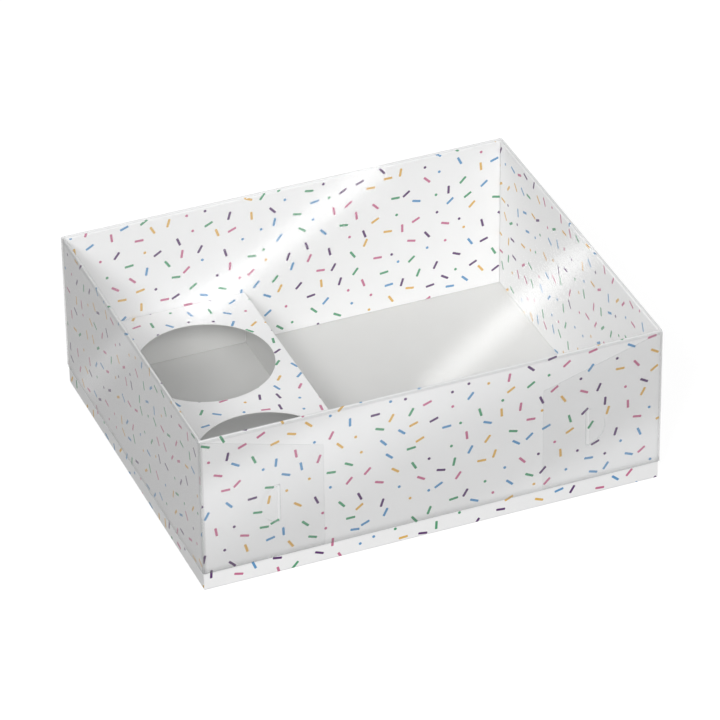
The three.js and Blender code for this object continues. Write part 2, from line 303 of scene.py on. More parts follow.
@dataclass(frozen=True)
class ClearFilm:
    """Clear polyester film, cast and stretched smooth.

    It mirrors lamps at a glance, more so at a flat angle, and veils what lies behind it a little.
    It also carries painted sheen bands over its skirts, and painted shade beside them, along its folds and
    above its hem.
    """

    name: str
    roughness: float = 0.06
    mirror: float = 0.03
    mirror_at_edge: float = 0.4
    edge_power: float = 5.0
    veil: float = 0.03
    veil_colour: str = "#f4f6f8"
    tint: float = 1.0
    # Painted shade along the folds.
    crease_painted_shade: float = 0.12
    crease_mm: float = 1.1
    # Painted shade in a band above the hem.
    hem_painted_shade: float = 0.17
    hem_mm: float = 3.6
    # Painted sheen bands on the skirts, with painted shade beside them.
    band_painted_shade: float = 0.1
    band_painted_veil: float = 0.05
    skirt_mm: float = 1.2
    end_sheen_bands: tuple[PaintedSheenBand, ...] = (PaintedSheenBand(-0.3, 80, 18, 44), PaintedSheenBand(-0.3, -12, 24, 80))
    side_sheen_bands: tuple[PaintedSheenBand, ...] = (PaintedSheenBand(0.785, 56, 10, 14),)

    def build(self, low: Vector, high: Vector) -> bpy.types.Material:
        """Makes the film for a lid that fills a box.

        Args:
            low: The lid's lowest corner.
            high: The lid's highest corner.

        Returns:
            The material.
        """
        material, tree = new_material(self.name)
        place = add(tree, "ShaderNodeTexCoord").outputs["Object"]
        tilt = add(tree, "ShaderNodeLayerWeight", {"Blend": 0.5})
        rise = add(tree, "ShaderNodeMath", {0: tilt.outputs["Facing"], 1: self.edge_power},
                   operation="POWER")
        share = add(tree, "ShaderNodeMapRange",
                    {"Value": rise.outputs[0], "To Min": self.mirror, "To Max": self.mirror_at_edge})
        height = add(tree, "ShaderNodeSeparateXYZ", {0: place})
        # Painted shade: the film is darkened in a band just above its hem, like a shadow along the lid's
        # lower edge.
        hem = add(tree, "ShaderNodeMapRange",
                  {"Value": height.outputs[2], "From Min": low.z, "From Max": low.z + self.hem_mm * MM,
                   "To Min": self.tint * (1 - self.hem_painted_shade), "To Max": self.tint},
                  interpolation_type="SMOOTHSTEP")
        # Painted sheen and shade on the skirts: the film is left clear and a little hazier in the bands, and
        # darkened beside them.
        painted_band = self.painted_sheen(tree, place, high)
        shade = add(tree, "ShaderNodeMapRange", {"Value": painted_band, "To Min": 1 - self.band_painted_shade, "To Max": 1.0})
        skirt = add(tree, "ShaderNodeMath", {0: hem.outputs[0], 1: shade.outputs[0]}, operation="MULTIPLY")
        # Painted shade along the film's folds.
        fold = self.painted_fold_shade(tree, place, low, high)
        through = add(tree, "ShaderNodeMath", {0: skirt.outputs[0], 1: fold}, operation="MULTIPLY")
        tint = add(tree, "ShaderNodeCombineColor",
                   {channel: through.outputs[0] for channel in range(3)})
        clear = add(tree, "ShaderNodeBsdfTransparent", {"Color": tint.outputs[0]})
        gloss = add(tree, "ShaderNodeBsdfGlossy", {"Color": (1, 1, 1, 1), "Roughness": self.roughness})
        glassy = add(tree, "ShaderNodeMixShader",
                     {0: share.outputs[0], 1: clear.outputs[0], 2: gloss.outputs[0]})
        haze = add(tree, "ShaderNodeBsdfDiffuse", {"Color": linear(self.veil_colour)})
        # Painted sheen: the veil thickens in the bands.
        veil = add(tree, "ShaderNodeMapRange",
                   {"Value": painted_band, "To Min": self.veil, "To Max": self.veil + self.band_painted_veil})
        whole = add(tree, "ShaderNodeMixShader",
                    {0: veil.outputs[0], 1: glassy.outputs[0], 2: haze.outputs[0]})
        add(tree, "ShaderNodeOutputMaterial", {"Surface": whole.outputs[0]})
        return material

    def painted_sheen(
        self, tree: bpy.types.NodeTree, place: bpy.types.NodeSocket, high: Vector
    ) -> bpy.types.NodeSocket:
        """Painted sheen on the skirts: how far the painted bands lighten the film at each place.

        Args:
            tree: The material's node tree.
            place: The place on the lid, in metres.
            high: The lid's highest corner.

        Returns:
            A value from 0, where the film is dimmest, to 1 in a band and on the level top.
        """
        in_mm = add(tree, "ShaderNodeVectorMath", {0: place, "Scale": 1 / MM}, operation="SCALE")
        at = add(tree, "ShaderNodeSeparateXYZ", {0: in_mm.outputs[0]})
        end = self.bands(tree, at.outputs[0], at.outputs[2], self.end_sheen_bands)
        side = self.bands(tree, at.outputs[1], at.outputs[2], self.side_sheen_bands)
        depth = add(tree, "ShaderNodeMath", {0: at.outputs[1]}, operation="ABSOLUTE")
        on_end = add(tree, "ShaderNodeMath", {0: depth.outputs[0], 1: high.y / MM - self.skirt_mm},
                     operation="GREATER_THAN")
        skirts = add(tree, "ShaderNodeMix", {0: on_end.outputs[0], 2: side, 3: end},
                     data_type="FLOAT")
        level = add(tree, "ShaderNodeMath", {0: at.outputs[2], 1: high.z / MM - self.skirt_mm},
                    operation="GREATER_THAN")
        return add(tree, "ShaderNodeMath", {0: skirts.outputs[0], 1: level.outputs[0]},
                   operation="MAXIMUM").outputs[0]

    def bands(
        self,
        tree: bpy.types.NodeTree,
        along: bpy.types.NodeSocket,
        height: bpy.types.NodeSocket,
        painted_bands: tuple[PaintedSheenBand, ...],
    ) -> bpy.types.NodeSocket:
        """The painted sheen bands of one pair of skirts.

        Args:
            tree: The material's node tree.
            along: The place along the skirt, in millimetres.
            height: The height on the skirt, in millimetres.
            painted_bands: The skirt's painted sheen bands.

        Returns:
            The light of the brightest band at each place.
        """
        brightest = None
        for painted_band in painted_bands:
            flat = add(tree, "ShaderNodeMath", {0: along, 1: math.sin(painted_band.slope)}, operation="MULTIPLY")
            across = add(tree, "ShaderNodeMath", {0: height, 1: math.cos(painted_band.slope), 2: flat.outputs[0]},
                         operation="MULTIPLY_ADD")
            sides = [
                add(tree, "ShaderNodeMapRange",
                    {"Value": across.outputs[0], "From Min": painted_band.centre + reach, "From Max": painted_band.centre},
                    interpolation_type="SMOOTHSTEP")
                for reach in (painted_band.above, -painted_band.below)
            ]
            band = add(tree, "ShaderNodeMath", {0: sides[0].outputs[0], 1: sides[1].outputs[0]},
                       operation="MULTIPLY")
            if brightest is None:
                brightest = band.outputs[0]
            else:
                brightest = add(tree, "ShaderNodeMath", {0: brightest, 1: band.outputs[0]},
                                operation="MAXIMUM").outputs[0]
        return brightest

    def painted_fold_shade(
        self, tree: bpy.types.NodeTree, place: bpy.types.NodeSocket, low: Vector, high: Vector
    ) -> bpy.types.NodeSocket:
        """Painted shade along the film's folds: how much light the film lets through, a little less on its
        folds than on its flat panels.

        Args:
            tree: The material's node tree.
            place: The place on the lid, in metres.
            low: The lid's lowest corner.
            high: The lid's highest corner.

        Returns:
            The share of the light, from 0 to 1.
        """
        centre = (low + high) / 2
        half = (high - low) / 2
        centred = add(tree, "ShaderNodeVectorMath", {0: place, 1: tuple(centre)}, operation="SUBTRACT")
        spread = add(tree, "ShaderNodeVectorMath", {0: centred.outputs[0]}, operation="ABSOLUTE")
        from_middle = add(tree, "ShaderNodeSeparateXYZ", {0: spread.outputs[0]})
        height = add(tree, "ShaderNodeSeparateXYZ", {0: centred.outputs[0]})
        crease = self.crease_mm * MM
        near = [
            add(tree, "ShaderNodeMapRange",
                {"Value": value, "From Min": reach - 2 * crease, "From Max": reach - crease})
            for value, reach in (
                (from_middle.outputs[0], half.x),
                (from_middle.outputs[1], half.y),
                (height.outputs[2], half.z),
            )
        ]
        pair = add(tree, "ShaderNodeMath", {0: near[0].outputs[0], 1: near[1].outputs[0]}, operation="ADD")
        planes = add(tree, "ShaderNodeMath", {0: pair.outputs[0], 1: near[2].outputs[0]}, operation="ADD")
        # A place near one outer plane lies on a panel, and a place near two of them lies on a fold.
        on_panel, on_fold = 1.2, 1.9
        share = add(tree, "ShaderNodeMapRange",
                    {"Value": planes.outputs[0], "From Min": on_panel, "From Max": on_fold,
                     "To Min": 1.0, "To Max": 1 - self.crease_painted_shade})
        return share.outputs[0]


@dataclass(frozen=True)
class FilmCutEdge:
    """Die-cut edge of polyester film: the light that it carries leaves there, so it shows as a pale line."""

    name: str
    colour: str = "#dfe4e7"
    solidity: float = 0.26
    roughness: float = 0.25
    ior: float = 1.57

    def build(self) -> bpy.types.Material:
        """Makes the material.

        Returns:
            The material.
        """
        material, tree = new_material(self.name)
        clear = add(tree, "ShaderNodeBsdfTransparent", {"Color": (1, 1, 1, 1)})
        pale = add(tree, "ShaderNodeBsdfPrincipled",
                   {"Base Color": linear(self.colour), "Roughness": self.roughness, "IOR": self.ior})
        edge = add(tree, "ShaderNodeMixShader", {0: self.solidity, 1: clear.outputs[0], 2: pale.outputs[0]})
        add(tree, "ShaderNodeOutputMaterial", {"Surface": edge.outputs[0]})
        return material


# Modelling of a folded sheet


def close(a: float, b: float, within: float = 0.02 * MM) -> bool:
    """True if two lengths are nearly the same."""
    return abs(a - b) < within


def edit_whole() -> None:
    """Opens the active mesh in edit mode, with all of it selected."""
    bpy.ops.object.mode_set(mode="EDIT")
    bpy.ops.mesh.select_all(action="SELECT")


class Side(Enum):
    """The four sides of the box, by their outward direction."""

    FRONT = (0, -1)
    RIGHT = (1, 0)
    BACK = (0, 1)
    LEFT = (-1, 0)

    @property
    def outward(self) -> Vector:
        """The side's outward direction."""
        return Vector((self.value[0], self.value[1], 0))

    @property
    def span_axis(self) -> Vector:
        """The direction along the side, towards +X or +Y."""
        return Vector((abs(self.value[1]), abs(self.value[0]), 0))

    @property
    def is_end(self) -> bool:
        """True for the front and the back."""
        return self.value[0] == 0


@dataclass(frozen=True)
class Crease:
    """A corner of a section: its reach from the middle, its height, its half span and its fold's radius."""

    reach: float
    height: float
    half_span: float
    radius: float = 0.0


@dataclass(frozen=True)
class Stop:
    """One stop of an edge that is drawn out into a panel: its low end and its length."""

    low_end: Vector
    length: float


def rounded(creases: list[Crease], segments: int) -> list[Crease]:
    """Replaces the corners of a section by arcs.

    Args:
        creases: The section's corners, from the panel that stays flat to the free edge.
        segments: The facets of each fold.

    Returns:
        The stops of the section, without fold radii.
    """
    stops = [creases[0]]
    for before, corner, after in zip(creases, creases[1:], creases[2:]):
        at = Vector((corner.reach, corner.height))
        arriving = (at - Vector((before.reach, before.height))).normalized()
        leaving = (Vector((after.reach, after.height)) - at).normalized()
        turn = arriving.angle(leaving)
        inward = (leaving - arriving * leaving.dot(arriving)).normalized()
        centre = at - arriving * corner.radius * math.tan(turn / 2) + inward * corner.radius
        for step in range(segments + 1):
            share = step / segments
            angle = turn * share
            place = centre + corner.radius * (arriving * math.sin(angle) - inward * math.cos(angle))
            span = before.half_span + (corner.half_span - before.half_span) * share
            is_new = (place - Vector((stops[-1].reach, stops[-1].height))).length > TOUCHING
            if is_new:
                stops.append(Crease(place.x, place.y, span))
    stops.append(creases[-1])
    return stops


@dataclass
class FoldedSheet:
    """One sheet, modelled panel by panel with edit-mode operators and then given its thickness."""

    piece: bpy.types.Object
    centre: Vector

    @classmethod
    def from_panel(cls, name: str, size: tuple[float, float], centre: Vector) -> "FoldedSheet":
        """Starts a sheet with its middle panel, lying flat, and leaves it in edit mode.

        Args:
            name: The piece's name.
            size: The panel's size along X and Y.
            centre: The panel's centre.

        Returns:
            The sheet.
        """
        bpy.ops.mesh.primitive_plane_add(size=1.0, location=(0, 0, 0))
        piece = bpy.context.active_object
        piece.name = name
        piece.data.name = name
        edit_whole()
        bpy.ops.transform.resize(value=(size[0], size[1], 1.0), center_override=(0, 0, 0))
        bpy.ops.transform.translate(value=tuple(centre))
        return cls(piece, centre)

    def pick_edge(self, one_end: Vector, other_end: Vector) -> None:
        """Selects the edge between two places.

        Args:
            one_end: The place of one end.
            other_end: The place of the other end.
        """
        bpy.ops.mesh.select_mode(type="EDGE")
        bpy.ops.mesh.select_all(action="DESELECT")
        mesh = bmesh.from_edit_mesh(self.piece.data)
        near = 0.05 * MM
        for edge in mesh.edges:
            start, end = (vert.co for vert in edge.verts)
            is_straight = (start - one_end).length < near and (end - other_end).length < near
            is_turned = (start - other_end).length < near and (end - one_end).length < near
            edge.select_set(is_straight or is_turned)
        mesh.select_flush_mode()
        bmesh.update_edit_mesh(self.piece.data)

    def draw_out(self, axis: Vector, stops: list[Stop]) -> None:
        """Draws an edge out into panels and folds.

        Args:
            axis: The direction that the edge runs in, at every stop.
            stops: The edge's stops, of which the first is an edge of the sheet.
        """
        first = stops[0]
        self.pick_edge(first.low_end, first.low_end + axis * first.length)
        for before, stop in zip(stops, stops[1:]):
            step = {"value": tuple(stop.low_end - before.low_end)}
            bpy.ops.mesh.extrude_region_move(TRANSFORM_OT_translate=step)
            growth = stop.length / before.length
            factor = Vector((1, 1, 1)) + axis * (growth - 1)
            bpy.ops.transform.resize(value=tuple(factor), center_override=tuple(stop.low_end))

    def add_wall(self, side: Side, section: list[Crease]) -> None:
        """Draws a wall out of one side of the middle panel.

        Args:
            side: The wall's side.
            section: The wall's section, with its folds already rounded.
        """
        flat = Vector((self.centre.x, self.centre.y, 0))
        stops = [
            Stop(
                flat + side.outward * stop.reach - side.span_axis * stop.half_span
                + Vector((0, 0, stop.height)),
                2 * stop.half_span,
            )
            for stop in section
        ]
        self.draw_out(side.span_axis, stops)

    def add_corner_flap(
        self, corner: tuple[int, int], plan: list[Crease], heights: list[tuple[float, float]]
    ) -> None:
        """Draws a corner flap out of the upright edge of a side wall.

        Args:
            corner: The signs of X and Y at that corner of the box.
            plan: The flap's section from above: reach is along Y, height is along X.
            heights: The lowest and highest place of the flap at each stop of the plan.
        """
        stops = [
            Stop(Vector((corner[0] * stop.height, corner[1] * stop.reach, low)), high - low)
            for stop, (low, high) in zip(plan, heights)
        ]
        self.draw_out(Vector((0, 0, 1)), stops)

    def turn_faces_outward(self) -> None:
        """Turns the printed or outer side of every panel the same way, away from the middle."""
        bpy.ops.mesh.select_mode(type="FACE")
        bpy.ops.mesh.select_all(action="SELECT")
        bpy.ops.mesh.normals_make_consistent(inside=False)
        bpy.ops.object.mode_set(mode="OBJECT")

    def map_blank(self, unfolded: Callable[[Vector, Vector], tuple[float, float]]) -> None:
        """Gives the sheet its own flat coordinates in millimetres, as it was printed before folding.

        Args:
            unfolded: Turns a face's middle and a corner of it into a place on the flat blank, in metres.
        """
        mesh = self.piece.data
        layer = mesh.uv_layers.new(name=SHEET_UV)
        for polygon in mesh.polygons:
            for index in polygon.loop_indices:
                corner = mesh.vertices[mesh.loops[index].vertex_index].co
                u, v = unfolded(polygon.center, corner)
                layer.data[index].uv = (u / MM, v / MM)

    def take_up(self) -> None:
        """Makes the sheet the one selected and active object."""
        bpy.ops.object.select_all(action="DESELECT")
        self.piece.select_set(True)
        bpy.context.view_layer.objects.active = self.piece

    def thicken(self, thickness: float, materials: list[bpy.types.Material]) -> None:
        """Gives the sheet its thickness on its inner side, with the surfaces of each side and of the cuts.

        Args:
            thickness: The sheet's thickness.
            materials: The material of each SheetSide that the sheet has.
        """
        for material in materials:
            self.piece.data.materials.append(material)
        self.take_up()
        solid = self.piece.modifiers.new("thickness", "SOLIDIFY")
        solid.thickness = thickness
        solid.offset = -1.0
        solid.use_even_offset = True
        solid.material_offset = SheetSide.BACK.value
        solid.material_offset_rim = SheetSide.CUT_EDGE.value
        bpy.ops.object.modifier_apply(modifier=solid.name)

    def cut(self, cutter: bpy.types.Object) -> None:
        """Cuts the sheet with a cutter, which is used up.

        Args:
            cutter: The closed mesh to take away.
        """
        for slot in self.piece.material_slots:
            cutter.data.materials.append(slot.material)
        for polygon in cutter.data.polygons:
            polygon.material_index = SheetSide.CUT_EDGE.value
        self.take_up()
        hole = self.piece.modifiers.new("hole", "BOOLEAN")
        hole.operation = "DIFFERENCE"
        hole.solver = "EXACT"
        hole.object = cutter
        bpy.ops.object.modifier_apply(modifier=hole.name)
        bpy.data.objects.remove(cutter)

    def smooth(self, angle: float = 30.0) -> None:
        """Shades the round folds smooth and keeps the cut edges sharp.

        Args:
            angle: The largest angle that is shaded smooth, in degrees.
        """
        self.take_up()
        bpy.ops.object.shade_smooth_by_angle(angle=math.radians(angle))
        flat = self.piece.modifiers.new("flat_panels", "WEIGHTED_NORMAL")
        flat.weight = 100
        flat.keep_sharp = True
        bpy.ops.object.modifier_apply(modifier=flat.name)


def unfold_wall(side: Side, run: float, along: float) -> tuple[float, float]:
    """The place on the flat blank of a point on a wall.

    Args:
        side: The wall's side.
        run: The length along the sheet from the middle of the box outward, up the wall and beyond.
        along: The place along the wall, on X or Y.

    Returns:
        The place on the blank, in metres.
    """
    place = side.outward * run + side.span_axis * along
    return place.x, place.y


# The three pieces


@dataclass
class CardTray:
    """The base tray: floor, walls rolled over at the rim, and corner flaps tucked inside the end walls."""

    low: Vector
    high: Vector
    board: float = 0.35 * MM
    ply_play: float = 0.05 * MM
    foot_gap: float = 0.2 * MM
    corner_play: float = 0.1 * MM
    floor_fold: float = 0.7 * MM
    rim_fold: float = 0.57 * MM
    corner_fold: float = 0.6 * MM
    fold_segments: int = 4
    flap_length: float = 45 * MM
    flap_taper: float = 4 * MM

    @property
    def wall(self) -> float:
        """The thickness of a rolled wall: two plies with a corner flap between them."""
        return 3 * self.board + 2 * self.ply_play

    def half(self, side: Side) -> float:
        """Half the tray's size towards a side."""
        return self.high.y if side.is_end else self.high.x

    def build(self, materials: list[bpy.types.Material]) -> bpy.types.Object:
        """Models the tray.

        Args:
            materials: The material of each SheetSide that the sheet has.

        Returns:
            The finished piece.
        """
        floor = (2 * (self.high.x - self.floor_fold), 2 * (self.high.y - self.floor_fold))
        sheet = FoldedSheet.from_panel("folded_tray", floor, Vector((0, 0, self.low.z)))
        for side in Side:
            sheet.add_wall(side, self.wall_section(side))
        for corner in CORNERS:
            sheet.add_corner_flap(corner, *self.flap_course())
        sheet.turn_faces_outward()
        sheet.map_blank(self.unfolded)
        sheet.thicken(self.board, materials)
        sheet.smooth()
        return sheet.piece

    def wall_section(self, side: Side) -> list[Crease]:
        """The section of a wall: out of the floor, up, over the rim and down again inside.

        Args:
            side: The wall's side.

        Returns:
            The section's stops.
        """
        reach = self.half(side)
        inner = reach - self.wall
        other = self.high.x if side.is_end else self.high.y
        start_span = other - self.floor_fold
        if side.is_end:
            outer_span = other
            inner_span = other - self.wall - self.corner_play
        else:
            outer_span = inner_span = other - self.wall - self.corner_play
        corners = [
            Crease(reach - self.floor_fold, self.low.z, start_span),
            Crease(reach, self.low.z, outer_span, self.floor_fold),
            Crease(reach, self.high.z, outer_span, self.rim_fold),
            Crease(inner, self.high.z, inner_span, self.rim_fold),
            Crease(inner, self.low.z + self.board + self.foot_gap, inner_span),
        ]
        return rounded(corners, self.fold_segments)

    def flap_course(self) -> tuple[list[Crease], list[tuple[float, float]]]:
        """The course of a corner flap from the side wall's upright edge into the end wall.

        Returns:
            The flap's section from above, and its lowest and highest place at each stop.
        """
        start = self.high.y - self.wall - self.corner_play
        plane = self.high.y - self.board - self.ply_play
        corners = [
            Crease(start, self.high.x, 0),
            Crease(plane, self.high.x, 0, self.corner_fold),
            Crease(plane, self.high.x - self.flap_length, 0),
        ]
        plan = rounded(corners, self.fold_segments)
        low = self.low.z + self.floor_fold
        high = self.high.z - self.rim_fold
        heights = [(low, high)] + [(low + self.corner_play, high - self.corner_play)] * (len(plan) - 2)
        heights.append((low + self.corner_play + self.flap_taper, high - self.corner_play - self.flap_taper))
        return plan, heights

    def unfolded(self, middle: Vector, corner: Vector) -> tuple[float, float]:
        """A place on the flat blank: the floor, and each wall laid out beside it.

        Args:
            middle: The middle of a face.
            corner: A corner of that face.

        Returns:
            The place on the blank, in metres.
        """
        if middle.z < TOUCHING:
            return corner.x, corner.y
        flap_plane = self.high.y - self.board - self.ply_play
        past_fold = self.high.x - self.corner_fold / 2
        on_flap = close(abs(middle.y), flap_plane) and abs(middle.x) < past_fold
        if on_flap:
            side = Side.RIGHT if middle.x > 0 else Side.LEFT
            along = math.copysign(flap_plane + self.high.x - abs(corner.x), middle.y)
            return unfold_wall(side, self.high.x + corner.z, along)
        side = max(Side, key=lambda s: middle.dot(s.outward) - self.half(s))
        inward = self.half(side) - corner.dot(side.outward)
        depth = self.half(side) - middle.dot(side.outward)
        inner_ply = self.wall - 0.1 * MM
        if depth > inner_ply:
            run = 2 * self.high.z + self.wall - corner.z
        else:
            run = corner.z + inward
        return unfold_wall(side, self.half(side) + run, corner.dot(side.span_axis))


@dataclass
class CardInsert:
    """The insert: a platform with two round wells on four tapered legs."""

    low: Vector
    high: Vector
    board: float = 0.35 * MM
    fold: float = 0.46 * MM
    fold_segments: int = 4
    corner_notch: float = 0.04 * MM
    leg_taper: float = 0.1 * MM
    well_diameter: float = 64.4 * MM
    well_pitch: float = 78.4 * MM
    well_from_open_side: float = 38 * MM
    well_segments: int = 160
    blank_offset: float = 700 * MM

    def build(self, materials: list[bpy.types.Material]) -> bpy.types.Object:
        """Models the insert.

        Args:
            materials: The material of each SheetSide that the sheet has.

        Returns:
            The finished piece.
        """
        size = self.high - self.low
        centre = (self.low + self.high) / 2
        panel = (size.x - 2 * self.fold, size.y - 2 * self.fold)
        sheet = FoldedSheet.from_panel("folded_insert", panel, Vector((centre.x, centre.y, self.high.z)))
        for side in Side:
            half, half_length = (size.y / 2, size.x / 2) if side.is_end else (size.x / 2, size.y / 2)
            top_span = half_length - self.fold - self.corner_notch
            corners = [
                Crease(half - self.fold, self.high.z, half_length - self.fold),
                Crease(half, self.high.z, top_span, self.fold),
                Crease(half, self.low.z, top_span - self.leg_taper),
            ]
            sheet.add_wall(side, rounded(corners, self.fold_segments))
        sheet.turn_faces_outward()
        sheet.map_blank(self.unfolded)
        sheet.thicken(self.board, materials)
        for hand in (-1, 1):
            sheet.cut(self.well_cutter(hand * self.well_pitch / 2))
        sheet.smooth()
        return sheet.piece

    def unfolded(self, middle: Vector, corner: Vector) -> tuple[float, float]:
        """A place on the flat blank, with the legs laid out beside the platform.

        Args:
            middle: The middle of a face.
            corner: A corner of that face.

        Returns:
            The place on the blank, in metres.
        """
        drop = self.high.z - corner.z
        centre = (self.low + self.high) / 2
        half = (self.high - self.low) / 2
        u, v = corner.x, corner.y
        x_share = (middle.x - centre.x) / half.x
        y_share = (middle.y - centre.y) / half.y
        if abs(x_share) > abs(y_share):
            u += math.copysign(drop, x_share)
        else:
            v += math.copysign(drop, y_share)
        return u + self.blank_offset, v + self.blank_offset

    def well_cutter(self, centre_y: float) -> bpy.types.Object:
        """A round cutter for one well.

        Args:
            centre_y: The well's place along Y.

        Returns:
            The cutter.
        """
        through = 8 * self.board
        bpy.ops.mesh.primitive_cylinder_add(
            vertices=self.well_segments,
            radius=self.well_diameter / 2,
            depth=through,
            location=(self.high.x - self.well_from_open_side, centre_y, self.high.z - self.board / 2),
        )
        return bpy.context.active_object


@dataclass
class FilmLid:
    """The lid: top, skirts, corner flaps behind the end skirts, and half-round tongues that lock them.

    Each tongue is cut out of its flap. through_cut and tongue_lap are counted in films.
    """

    low: Vector
    high: Vector
    film: float = 0.3 * MM
    film_play: float = 0.1 * MM
    fold: float = 0.9 * MM
    fold_segments: int = 5
    end_inset: float = 0.3 * MM
    flap_length: float = 58 * MM
    flap_top_inset: float = 1.2 * MM
    flap_drop: float = 16.4 * MM
    tongue_from_side: float = 37.2 * MM
    tongue_above_hem: float = 28.4 * MM
    tongue_height: float = 19.4 * MM
    tongue_reach: float = 9.2 * MM
    tongue_run: float = 1.0 * MM
    tongue_segments: int = 64
    slit_play: float = 0.15 * MM
    through_cut: float = 1.15
    tongue_lap: float = 0.25
    tongue_bend: float = 0.2 * MM
    tongue_dip: float = 0.05 * MM
    tongue_foot: float = 0.1 * MM

    @property
    def skirt_y(self) -> float:
        """The outer face of the end skirts, inside the tongues that lie on them."""
        return self.high.y - self.film - self.film_play

    @property
    def flap_y(self) -> float:
        """The outer face of the corner flaps, behind the end skirts."""
        return self.skirt_y - self.film - self.film_play

    @property
    def slit_x(self) -> float:
        """The place of the slits."""
        return self.high.x - self.tongue_from_side

    @property
    def tongue_z(self) -> float:
        """The height of the tongues' middle."""
        return self.low.z + self.tongue_above_hem

    def build(self, materials: list[bpy.types.Material]) -> bpy.types.Object:
        """Models the lid.

        Args:
            materials: The material of each SheetSide that the sheet has.

        Returns:
            The finished piece.
        """
        top = (2 * (self.high.x - self.fold), 2 * (self.skirt_y - self.fold))
        sheet = FoldedSheet.from_panel("folded_lid", top, Vector((0, 0, self.high.z)))
        for side in Side:
            sheet.add_wall(side, self.skirt_section(side))
        for corner in CORNERS:
            sheet.add_corner_flap(corner, *self.flap_course())
        sheet.turn_faces_outward()
        sheet.map_blank(self.unfolded)
        sheet.thicken(self.film, materials)
        for corner in CORNERS:
            sheet.cut(self.flap_cutter(corner))
            sheet.cut(self.slit_cutter(corner))
        tongues = [self.tongue(corner, materials) for corner in CORNERS]
        sheet.take_up()
        for tongue in tongues:
            tongue.select_set(True)
        bpy.ops.object.join()
        self.mark_tucked(sheet.piece)
        sheet.smooth()
        return sheet.piece

    def mark_tucked(self, piece: bpy.types.Object) -> None:
        """Gives the flaps and tongues, which lie against the skirts, a film surface of their own.

        Args:
            piece: The lid, with its thickness.
        """
        for polygon in piece.data.polygons:
            is_face = polygon.material_index == SheetSide.FACE.value
            on_flap = close(abs(polygon.center.y), self.flap_y)
            on_tongue = abs(polygon.center.y) > self.skirt_y + self.film_play / 2
            if is_face and (on_flap or on_tongue):
                polygon.material_index = SheetSide.TUCKED.value

    def skirt_section(self, side: Side) -> list[Crease]:
        """The section of a skirt: out of the top and down.

        Args:
            side: The skirt's side.

        Returns:
            The section's stops.
        """
        if side.is_end:
            reach, start_span, span = self.skirt_y, self.high.x - self.fold, self.high.x - self.end_inset
        else:
            reach, start_span, span = self.high.x, self.skirt_y - self.fold, self.flap_y - self.fold
        corners = [
            Crease(reach - self.fold, self.high.z, start_span),
            Crease(reach, self.high.z, span, self.fold),
            Crease(reach, self.low.z, span),
        ]
        return rounded(corners, self.fold_segments)

    def flap_course(self) -> tuple[list[Crease], list[tuple[float, float]]]:
        """The course of a corner flap from the side skirt's upright edge to behind the end skirt.

        Returns:
            The flap's section from above, and its lowest and highest place at each stop.
        """
        corners = [
            Crease(self.flap_y - self.fold, self.high.x, 0),
            Crease(self.flap_y, self.high.x, 0, self.fold),
            Crease(self.flap_y, self.high.x - self.flap_length, 0),
        ]
        plan = rounded(corners, self.fold_segments)
        top = self.high.z - self.flap_top_inset
        heights = [(self.low.z, self.high.z - self.fold)] + [(self.low.z, top)] * (len(plan) - 2)
        heights.append((self.low.z, top - self.flap_drop))
        return plan, heights

    def unfolded(self, middle: Vector, corner: Vector) -> tuple[float, float]:
        """A place on the flat blank, with the skirts laid out beside the top.

        Args:
            middle: The middle of a face.
            corner: A corner of that face.

        Returns:
            The place on the blank, in metres.
        """
        drop = self.high.z - corner.z
        u, v = corner.x, corner.y
        if abs(middle.x) - self.high.x > abs(middle.y) - self.flap_y - self.film_play / 2:
            u += math.copysign(drop, middle.x)
        else:
            v += math.copysign(drop, middle.y)
        return u, v

    def flap_cutter(self, corner: tuple[int, int]) -> bpy.types.Object:
        """A cutter for the half-round hole that a tongue leaves in its flap.

        Args:
            corner: The signs of X and Y at that corner of the box.

        Returns:
            The cutter, which is a prism that bulges towards the corner.
        """
        x, y = corner
        near = self.flap_y - self.through_cut * self.film
        far = self.flap_y + self.film_play / 2
        bpy.ops.mesh.primitive_cylinder_add(vertices=self.tongue_segments, radius=1.0, depth=1.0)
        prism = bpy.context.active_object
        edit_whole()
        bpy.ops.mesh.bisect(plane_co=(0, 0, 0), plane_no=(-x, 0, 0), use_fill=True, clear_outer=True)
        bpy.ops.mesh.select_all(action="SELECT")
        bpy.ops.transform.rotate(value=math.pi / 2, orient_axis="X", center_override=(0, 0, 0))
        bpy.ops.transform.resize(
            value=(self.tongue_reach + self.slit_play, far - near, self.tongue_height / 2 + self.slit_play),
            center_override=(0, 0, 0),
        )
        bpy.ops.transform.translate(value=(x * self.slit_x, y * (near + far) / 2, self.tongue_z))
        bpy.ops.mesh.normals_make_consistent(inside=False)
        bpy.ops.object.mode_set(mode="OBJECT")
        return prism

    def slit_cutter(self, corner: tuple[int, int]) -> bpy.types.Object:
        """A cutter for the upright slit that a tongue passes through.

        Args:
            corner: The signs of X and Y at that corner of the box.

        Returns:
            The cutter.
        """
        x, y = corner
        width = self.tongue_run + self.film + 2 * self.slit_play
        centre_x = self.slit_x + (self.tongue_run + self.film) / 2
        near = self.flap_y + self.film_play / 2
        far = self.skirt_y + self.film_play / 2
        bpy.ops.mesh.primitive_cube_add(size=1.0)
        cutter = bpy.context.active_object
        edit_whole()
        bpy.ops.transform.resize(
            value=(width, far - near, self.tongue_height + 2 * self.slit_play), center_override=(0, 0, 0)
        )
        bpy.ops.transform.translate(value=(x * centre_x, y * (near + far) / 2, self.tongue_z))
        bpy.ops.object.mode_set(mode="OBJECT")
        return cutter

